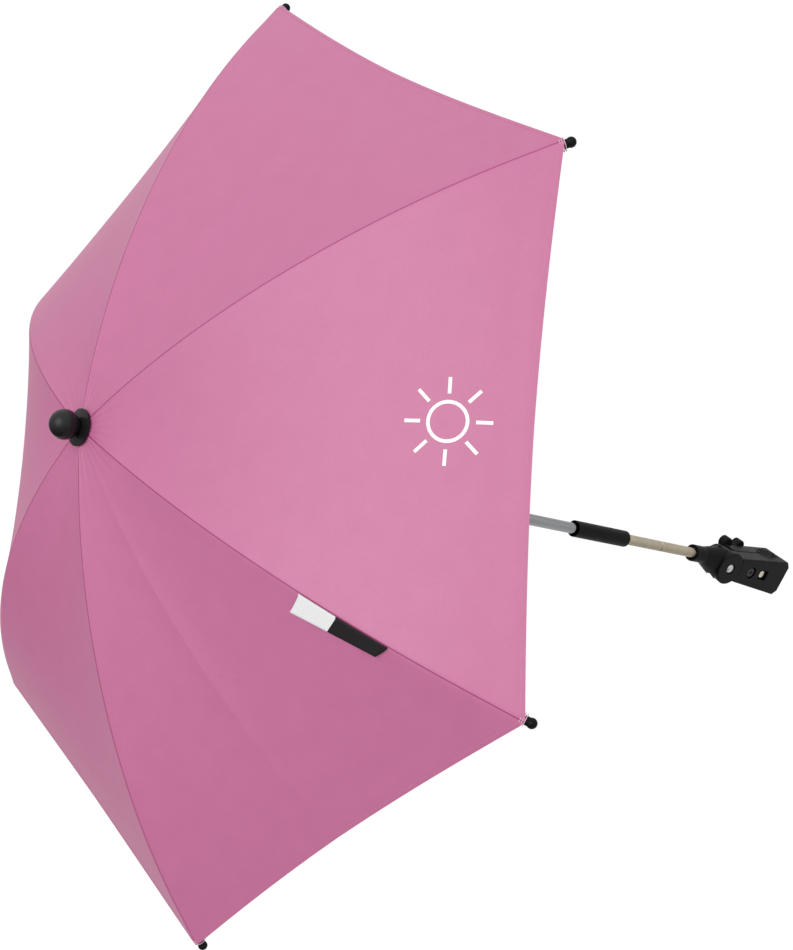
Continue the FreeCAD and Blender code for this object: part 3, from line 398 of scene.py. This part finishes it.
shaft_low, shaft_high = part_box("shaft_tube")
shaft_centre = (shaft_low + shaft_high) / 2
rib_hinge = [joint for joint in frame["joints"] if joint["name"] == "rib_1_fold"][0]
TIPS_Z = rib_hinge["pos_m"][2] - DOME_HEIGHT + HINGE_DROP


def rib_place(number):
    """Turns a shape from a rib's own plane to that rib's place round the shaft."""
    angle = math.radians(FIRST_RIB_ANGLE + RIB_STEP * (number - 1))
    middle = Matrix.Translation((shaft_centre.x, shaft_centre.y, TIPS_Z))
    return middle @ Matrix.Rotation(angle, 4, "Z")


# Cloth finish: a mottled pink weave, with a dark line along the seam and darker stitching in the
# hem.
SEAM_LINE = 0.5 * MM
SEAM_STITCH_AND_SHADE = 0.9
HEM_LINE = 0.35 * MM
HEM_DARKNESS = 0.15
THREAD_TURNS = math.tau / (0.9 * MM)
MOTTLE_SHARE = 0.5
pink_cloth = Finish("pink_polyester", (0.480, 0.130, 0.268), roughness=0.44)
weave_uv = pink_cloth.nodes.new("ShaderNodeUVMap")
weave_uv.uv_map = "cloth"
separate = pink_cloth.nodes.new("ShaderNodeSeparateXYZ")
pink_cloth.links.new(weave_uv.outputs["UV"], separate.inputs["Vector"])
across_seam = pink_cloth.math("ABSOLUTE", separate.outputs["X"])
from_hem = pink_cloth.nodes.new("ShaderNodeAttribute")
from_hem.attribute_name = "from_hem"
hem_gap = from_hem.outputs["Fac"]
slub = pink_cloth.noise(60.0, detail=4.0)
fine = pink_cloth.noise(700.0, detail=2.0)
mottle = pink_cloth.math("ADD", pink_cloth.math("MULTIPLY", slub, MOTTLE_SHARE),
                         pink_cloth.math("MULTIPLY", fine, MOTTLE_SHARE))
base = pink_cloth.tint(mottle, (0.442, 0.110, 0.240), (0.522, 0.150, 0.296))
# The seam's dark line is stitching and also painted shade, the shade of the groove along the seam
# drawn into the colour.
seam_stitch_and_shade_mask = pink_cloth.math("LESS_THAN", across_seam, SEAM_LINE)
seam_stitch_and_shade = pink_cloth.math("MULTIPLY", seam_stitch_and_shade_mask, SEAM_STITCH_AND_SHADE)
with_seam_stitch_and_shade = pink_cloth.tint(seam_stitch_and_shade, base, (0.28, 0.015, 0.115))
off_stitch = pink_cloth.math("ABSOLUTE", pink_cloth.math("SUBTRACT", hem_gap, HEM_STITCH))
hem_near = pink_cloth.math("LESS_THAN", off_stitch, HEM_LINE)
hem_dark = pink_cloth.math("MULTIPLY", hem_near, HEM_DARKNESS)
with_hem = pink_cloth.tint(hem_dark, with_seam_stitch_and_shade, (0.30, 0.08, 0.17))
warp = pink_cloth.math("SINE", pink_cloth.math("MULTIPLY", separate.outputs["X"], THREAD_TURNS))
weft = pink_cloth.math("SINE", pink_cloth.math("MULTIPLY", separate.outputs["Y"], THREAD_TURNS))
weave = pink_cloth.math("ADD", pink_cloth.math("MULTIPLY", warp, weft), fine)
pink_cloth.bump_from(weave, strength=0.18, depth=0.08 * MM)
pink_cloth.shader.inputs["Specular IOR Level"].default_value = 0.6


# Print: the outline of a sun on one gore, drawn by the shader round the middle of its own map.
PRINTED_GORE = ((1, 1.0), (2, -1.0))
PRINT_REACH = 256.0 * MM
PRINT_SLOPE = 1.2
SUN_RING = 12.0 * MM
SUN_LINE = 1.1 * MM
RAY_START = 17.0 * MM
RAY_END = 27.0 * MM
RAY_COUNT = 8
OFF_PRINT = (1.0, 1.0)
print_uv_node = pink_cloth.nodes.new("ShaderNodeUVMap")
print_uv_node.uv_map = "print"
print_parts = pink_cloth.nodes.new("ShaderNodeSeparateXYZ")
pink_cloth.links.new(print_uv_node.outputs["UV"], print_parts.inputs["Vector"])
print_x = print_parts.outputs["X"]
print_y = print_parts.outputs["Y"]
x_squared = pink_cloth.math("MULTIPLY", print_x, print_x)
y_squared = pink_cloth.math("MULTIPLY", print_y, print_y)
out_from_sun = pink_cloth.math("SQRT", pink_cloth.math("ADD", x_squared, y_squared))
off_ring = pink_cloth.math("ABSOLUTE", pink_cloth.math("SUBTRACT", out_from_sun, SUN_RING))
on_ring = pink_cloth.math("LESS_THAN", off_ring, SUN_LINE)
turned = pink_cloth.math("ARCTAN2", print_y, print_x)
bearing = pink_cloth.math("MULTIPLY", turned, RAY_COUNT / math.tau)
nearest_ray = pink_cloth.math("ROUND", bearing)
off_ray = pink_cloth.math("ABSOLUTE", pink_cloth.math("SUBTRACT", bearing, nearest_ray))
ray_angle = pink_cloth.math("MULTIPLY", off_ray, math.tau / RAY_COUNT)
ray_gap = pink_cloth.math("MULTIPLY", ray_angle, out_from_sun)
past_start = pink_cloth.math("GREATER_THAN", out_from_sun, RAY_START)
before_end = pink_cloth.math("LESS_THAN", out_from_sun, RAY_END)
ray_span = pink_cloth.math("MULTIPLY", past_start, before_end)
ray_width = pink_cloth.math("LESS_THAN", ray_gap, SUN_LINE)
on_ray = pink_cloth.math("MULTIPLY", ray_width, ray_span)
printed = pink_cloth.math("MAXIMUM", on_ring, on_ray)
pink_cloth.colour_from(pink_cloth.tint(printed, with_hem, (0.86, 0.84, 0.85)))


# Cloth sheets: a grid for each rib, closer at the seam and in the hem, bent to the canopy's shape.
def row_reach(row):
    """The reach of a row of the cloth's grid, with close rows in the hem."""
    body_end = CLOTH_EDGE - HEM_WIDTH
    if row <= RIDGE_ROWS:
        return CLOTH_HOLE + (body_end - CLOTH_HOLE) * row / RIDGE_ROWS
    return body_end + HEM_WIDTH * (row - RIDGE_ROWS) / HEM_ROWS


def column_share(column):
    """How far across the gore a column of the grid is, with close columns at the seam."""
    share = abs(column) / GORE_COLUMNS
    return math.copysign(share ** COLUMN_POWER, column)


def print_place(number, side, spot):
    """Where a point of the cloth lies from the middle of the printed sun, or well away from it."""
    if (number, side) not in PRINTED_GORE:
        return OFF_PRINT
    along = Vector((math.sqrt(3.0) / 2.0, side / 2.0))
    reach = along.x * spot.x + along.y * spot.y
    across = along.x * spot.y - along.y * spot.x
    return ((reach - PRINT_REACH) * PRINT_SLOPE, across)


def cloth_round_rib(number):
    """The cloth from one mid-gore line over the rib to the next, as one curved sheet."""
    creases = [side for rib, side in CREASED_GORES if rib == number]
    deep = [side for rib, side in DEEP_GORES if rib == number]
    rows = RIDGE_ROWS + HEM_ROWS
    cloth = bmesh.new()
    bmesh.ops.create_grid(cloth, x_segments=rows, y_segments=2 * GORE_COLUMNS, size=1.0)
    uv = cloth.loops.layers.uv.new("cloth")
    print_uv = cloth.loops.layers.uv.new("print")
    hem = cloth.verts.layers.float.new("from_hem")
    flat = {}
    for point in cloth.verts:
        row = round((point.co.x + 1.0) / 2.0 * rows)
        column = round(point.co.y * GORE_COLUMNS)
        reach = row_reach(row)
        share = column_share(column)
        flat[point] = (GORE_HALF * reach * share, reach * FLAT_STRETCH)
        point[hem] = (CLOTH_EDGE - reach) * HEM_STRETCH
        point.co = cloth_point(reach, share, creases, deep)
    for face in cloth.faces:
        side = math.copysign(1.0, sum(flat[point][0] for point in face.verts))
        for loop in face.loops:
            loop[uv].uv = flat[loop.vert]
            loop[print_uv].uv = print_place(number, side, loop.vert.co)
    bmesh.ops.transform(cloth, matrix=rib_place(number), verts=cloth.verts)
    bmesh.ops.recalc_face_normals(cloth, faces=cloth.faces)
    area = sum(face.calc_area() for face in cloth.faces)
    bmesh.ops.solidify(cloth, geom=cloth.faces[:], thickness=CLOTH_THICKNESS)
    cloth.normal_update()
    for face in cloth.faces:
        if face.normal.z < 0.0:
            for loop in face.loops:
                loop[print_uv].uv = OFF_PRINT
    piece = object_from(f"canopy_cloth_{number}", cloth, pink_cloth)
    piece.data.set_sharp_from_angle(angle=math.radians(SHARP_ANGLE))
    return piece, area


for number in range(1, RIB_COUNT + 1):
    piece, area = cloth_round_rib(number)
    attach(piece, f"rib_{number}")
    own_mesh(piece)
    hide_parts(f"canopy_sector_{number}")


# Tag: a woven tape sewn into one seam, a little askew, so that the seam hides part of its low
# end. Nearly half of it is white and the rest black, and it is left without lettering.
TAG_START = 0.616 * SPAN_RADIUS
TAG_LENGTH = 66.0 * MM
TAG_WIDTH = 17.0 * MM
TAG_LIFT = 0.9 * MM
TAG_CURL = 1.2 * MM
TAG_SKEW = 5.0 * MM
TAG_HIDDEN = 0.35
TAG_LEVEL_SHARE = 0.886
TAG_SEAM_GAP = 0.5 * MM
TAG_THICKNESS = 0.5 * MM
TAG_WHITE_END = -0.1
TAG_ROWS = 32
TAG_COLUMNS = 10


def tape(name, colour, other):
    """A matt woven finish between two near colours."""
    finish = Finish(name, colour, roughness=0.6)
    threads = finish.noise(1200.0, detail=2.0, stretch=(1.0, 1.0, 6.0))
    finish.colour_from(finish.tint(threads, colour, other))
    finish.bump_from(threads, strength=0.3, depth=0.1 * MM)
    finish.shader.inputs["Specular IOR Level"].default_value = 0.12
    return finish


white_tape = tape("white_tape", (0.76, 0.76, 0.77), (0.66, 0.66, 0.67))
black_tape = tape("black_tape", (0.010, 0.009, 0.010), (0.022, 0.019, 0.021))
tag = bmesh.new()
bmesh.ops.create_grid(tag, x_segments=TAG_ROWS, y_segments=TAG_COLUMNS, size=1.0)
for face in tag.faces:
    face.material_index = 1 if face.calc_center_median().x > TAG_WHITE_END else 0
for point in tag.verts:
    along = (point.co.x + 1.0) / 2.0
    down = (point.co.y + 1.0) / 2.0
    reach = TAG_START + TAG_LENGTH * TAG_LEVEL_SHARE * along + TAG_SKEW * down * (1.0 - along)
    shown = TAG_WIDTH * (1.0 - TAG_HIDDEN * along)
    share = -(TAG_SEAM_GAP + shown * down) / (GORE_HALF * reach)
    spot = cloth_point(reach, share)
    spot.z += TAG_LIFT + TAG_CURL * down ** 2 * (2.0 * along - 1.0) ** 2
    point.co = spot
bmesh.ops.transform(tag, matrix=rib_place(1), verts=tag.verts)
bmesh.ops.recalc_face_normals(tag, faces=tag.faces)
tag_area = sum(face.calc_area() for face in tag.faces)
tag_piece = object_from("seam_tag", tag, white_tape)
tag_piece.data.materials.append(black_tape.material)
tag_wall = tag_piece.modifiers.new("thickness", "SOLIDIFY")
tag_wall.thickness = TAG_THICKNESS
tag_wall.offset = 0.0
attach(tag_piece, "rib_1")
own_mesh(tag_piece)
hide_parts("side_tag")


# Stitches: each corner of the cloth is tied down on the tip's collar with a few turns of pale
# thread, and the seam is tied to the rib at two places on the way.
STITCH_REACHES = (344.6 * MM, 345.7 * MM, 346.8 * MM)
STITCH_TURN = 4.15 * MM
TIE_REACHES = (118.0 * MM, 119.1 * MM, 248.0 * MM, 249.1 * MM)
TIE_TURN = 3.15 * MM
THREAD_RADIUS = 0.25 * MM
THREAD_SIDES = 8
TURN_STEPS = 28
thread = Finish("pale_thread", (0.62, 0.42, 0.50), roughness=0.7)
thread_twist = thread.noise(2500.0, detail=2.0)
thread.colour_from(thread.tint(thread_twist, (0.56, 0.36, 0.44), (0.72, 0.56, 0.62)))
thread.bump_from(thread_twist, strength=0.4, depth=0.05 * MM)


def thread_turn(builder, reach, turn_radius):
    """One turn of thread round the rib at a given reach."""
    height = height_on(rib_centre, rib_radius, reach)
    along = Vector((height - rib_centre[1], 0.0, rib_centre[0] - reach)).normalized()
    outward = Vector((-along.z, 0.0, along.x))
    centre = Vector((reach, 0.0, height))
    start = centre + outward * turn_radius
    facing = Vector((0.0, 1.0, 0.0)).to_track_quat("Z", "Y").to_matrix().to_4x4()
    made = bmesh.ops.create_circle(builder, segments=THREAD_SIDES, radius=THREAD_RADIUS,
                                   matrix=Matrix.Translation(start) @ facing)
    ring_edges = list(dict.fromkeys(edge for point in made["verts"] for edge in point.link_edges))
    bmesh.ops.spin(builder, geom=made["verts"] + ring_edges, cent=centre, axis=along,
                   angle=math.tau, steps=TURN_STEPS, use_merge=True)


def stitches_on(number, name, reaches, turn_radius):
    """The turns of thread at some reaches of one rib, as a piece that rides on it."""
    builder = bmesh.new()
    for reach in reaches:
        thread_turn(builder, reach, turn_radius)
    bmesh.ops.remove_doubles(builder, verts=builder.verts, dist=MERGE_GAP)
    bmesh.ops.transform(builder, matrix=rib_place(number), verts=builder.verts)
    bmesh.ops.recalc_face_normals(builder, faces=builder.faces)
    piece = object_from(f"{name}_{number}", builder, thread)
    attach(piece, f"rib_{number}")
    return piece


# The ties narrow with the cloth over them, so that they stay under it when the ribs fold.
for number in range(1, RIB_COUNT + 1):
    stitches_on(number, "corner_stitches", STITCH_REACHES, STITCH_TURN)
    ties = stitches_on(number, "seam_ties", TIE_REACHES, TIE_TURN)
    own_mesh(ties)


# Cap and ball: a moulded disc that holds the cloth down on the crown, and a ball knob on a
# stem through it.
polished_black = Finish("polished_black_plastic", (0.008, 0.008, 0.009), roughness=0.3)
polish_cloud = polished_black.noise(120.0)
polish_tint = polished_black.tint(polish_cloud, (0.006, 0.006, 0.007), (0.011, 0.011, 0.012))
polished_black.colour_from(polish_tint)
polished_black.roughness_from(polished_black.spread(polish_cloud, 0.24, 0.36))
polished_black.shader.inputs["Specular IOR Level"].default_value = 0.25
dress(polished_black, "top_cap", "ball_knob")


# Room: a plain pale floor well below the part, a white sky and one wide soft lamp from above.
# Reflections see a dimmer floor, and a sky that is brighter towards +X and overhead.
FLOOR_Z = -0.9
FLOOR_SIZE = 12.0
FLOOR_WHITE_SHARE = 0.85
FLOOR_SHINE_LOSS = 0.3
floor_builder = bmesh.new()
bmesh.ops.create_grid(floor_builder, x_segments=1, y_segments=1, size=FLOOR_SIZE)
bmesh.ops.translate(floor_builder, verts=floor_builder.verts, vec=(0.0, 0.0, FLOOR_Z))
pale_floor = Finish("pale_floor", (0.93, 0.93, 0.93), roughness=0.9)
floor_cloud = pale_floor.noise(2.0)
pale_floor.colour_from(pale_floor.tint(floor_cloud, (0.93, 0.93, 0.93), (0.94, 0.94, 0.94)))
floor_rays = pale_floor.nodes.new("ShaderNodeLightPath")
floor_white = pale_floor.nodes.new("ShaderNodeEmission")
floor_mix = pale_floor.nodes.new("ShaderNodeMixShader")
seen_or_mirrored = pale_floor.math("MAXIMUM", floor_rays.outputs["Is Camera Ray"],
                                   floor_rays.outputs["Is Glossy Ray"])
seen_floor = pale_floor.math("MAXIMUM", seen_or_mirrored,
                             floor_rays.outputs["Is Transmission Ray"])
white_share = pale_floor.math("MULTIPLY", seen_floor, FLOOR_WHITE_SHARE)
pale_floor.links.new(white_share, floor_mix.inputs["Fac"])
pale_floor.links.new(pale_floor.shader.outputs["BSDF"], floor_mix.inputs[1])
pale_floor.links.new(floor_white.outputs["Emission"], floor_mix.inputs[2])
floor_dim = pale_floor.math("MULTIPLY", floor_rays.outputs["Is Glossy Ray"], FLOOR_SHINE_LOSS)
pale_floor.links.new(pale_floor.math("SUBTRACT", 1.0, floor_dim), floor_white.inputs["Strength"])
floor_out = pale_floor.nodes["Material Output"]
pale_floor.links.new(floor_mix.outputs["Shader"], floor_out.inputs["Surface"])
floor = object_from("floor", floor_builder, pale_floor, smooth=False)

SKY_LIGHT = 0.74
SHINE_LEVEL = 0.6
SHINE_LEAN = (0.8, 0.0, 0.4)
SHINE_LEAST = 0.06
world = bpy.data.worlds.new("white_sky")
bpy.context.scene.world = world
world.use_nodes = True
sky = world.node_tree.nodes
sky_links = world.node_tree.links
rays = sky.new("ShaderNodeLightPath")
seen = sky.new("ShaderNodeMath")
seen.operation = "MAXIMUM"
sky_links.new(rays.outputs["Is Camera Ray"], seen.inputs[0])
sky_links.new(rays.outputs["Is Transmission Ray"], seen.inputs[1])
level = sky.new("ShaderNodeMapRange")
level.inputs["To Min"].default_value = SKY_LIGHT
level.inputs["To Max"].default_value = 1.0
sky_links.new(seen.outputs["Value"], level.inputs["Value"])
way = sky.new("ShaderNodeTexCoord")
lean = sky.new("ShaderNodeVectorMath")
lean.operation = "DOT_PRODUCT"
lean.inputs[1].default_value = SHINE_LEAN
sky_links.new(way.outputs["Generated"], lean.inputs[0])
shine = sky.new("ShaderNodeMath")
shine.operation = "ADD"
shine.inputs[1].default_value = SHINE_LEVEL
sky_links.new(lean.outputs["Value"], shine.inputs[0])
shine_kept = sky.new("ShaderNodeMath")
shine_kept.operation = "MAXIMUM"
shine_kept.inputs[1].default_value = SHINE_LEAST
sky_links.new(shine.outputs["Value"], shine_kept.inputs[0])
mixed = sky.new("ShaderNodeMix")
sky_links.new(rays.outputs["Is Glossy Ray"], mixed.inputs["Factor"])
sky_links.new(level.outputs["Result"], mixed.inputs[2])
sky_links.new(shine_kept.outputs["Value"], mixed.inputs[3])
sky["Background"].inputs["Color"].default_value = (1.0, 1.0, 1.0, 1.0)
sky_links.new(mixed.outputs[0], sky["Background"].inputs["Strength"])

LAMP_STRENGTH = 1.5
LAMP_SPREAD = 50.0
LAMP_FROM = (0.2, -0.16, 0.96)
lamp_data = bpy.data.lights.new("soft_lamp", "SUN")
lamp_data.energy = LAMP_STRENGTH
lamp_data.angle = math.radians(LAMP_SPREAD)
lamp = bpy.data.objects.new("soft_lamp", lamp_data)
lamp.rotation_euler = Vector(LAMP_FROM).to_track_quat("Z", "Y").to_euler()
bpy.context.scene.collection.objects.link(lamp)

# Camera: fitted to the photograph, and placed from the middle of the circle of the tips.
CAMERA_LENS = 58.93
CAMERA_SENSOR = 36.0
CAMERA_SHIFT = 0.0737
CAMERA_FAR = 50.0
CAMERA_PLACE = (0.3103, -0.8862, 0.6691)
CAMERA_RIGHT = (0.4019, -0.5420, -0.7381)
CAMERA_UP = (0.8723, 0.4719, 0.1284)
CAMERA_BACK = (0.2787, -0.6954, 0.6624)
camera_data = bpy.data.cameras.new("camera")
camera_data.lens = CAMERA_LENS
camera_data.sensor_width = CAMERA_SENSOR
camera_data.shift_y = CAMERA_SHIFT
camera_data.clip_end = CAMERA_FAR
camera = bpy.data.objects.new("camera", camera_data)
eye = Vector((shaft_centre.x + CAMERA_PLACE[0], shaft_centre.y + CAMERA_PLACE[1],
              TIPS_Z + CAMERA_PLACE[2]))
turn = Matrix((CAMERA_RIGHT, CAMERA_UP, CAMERA_BACK)).transposed()
camera.matrix_world = Matrix.Translation(eye) @ turn.to_4x4()
bpy.context.scene.collection.objects.link(camera)
bpy.context.scene.camera = camera
bpy.context.scene.view_settings.view_transform = "Standard"
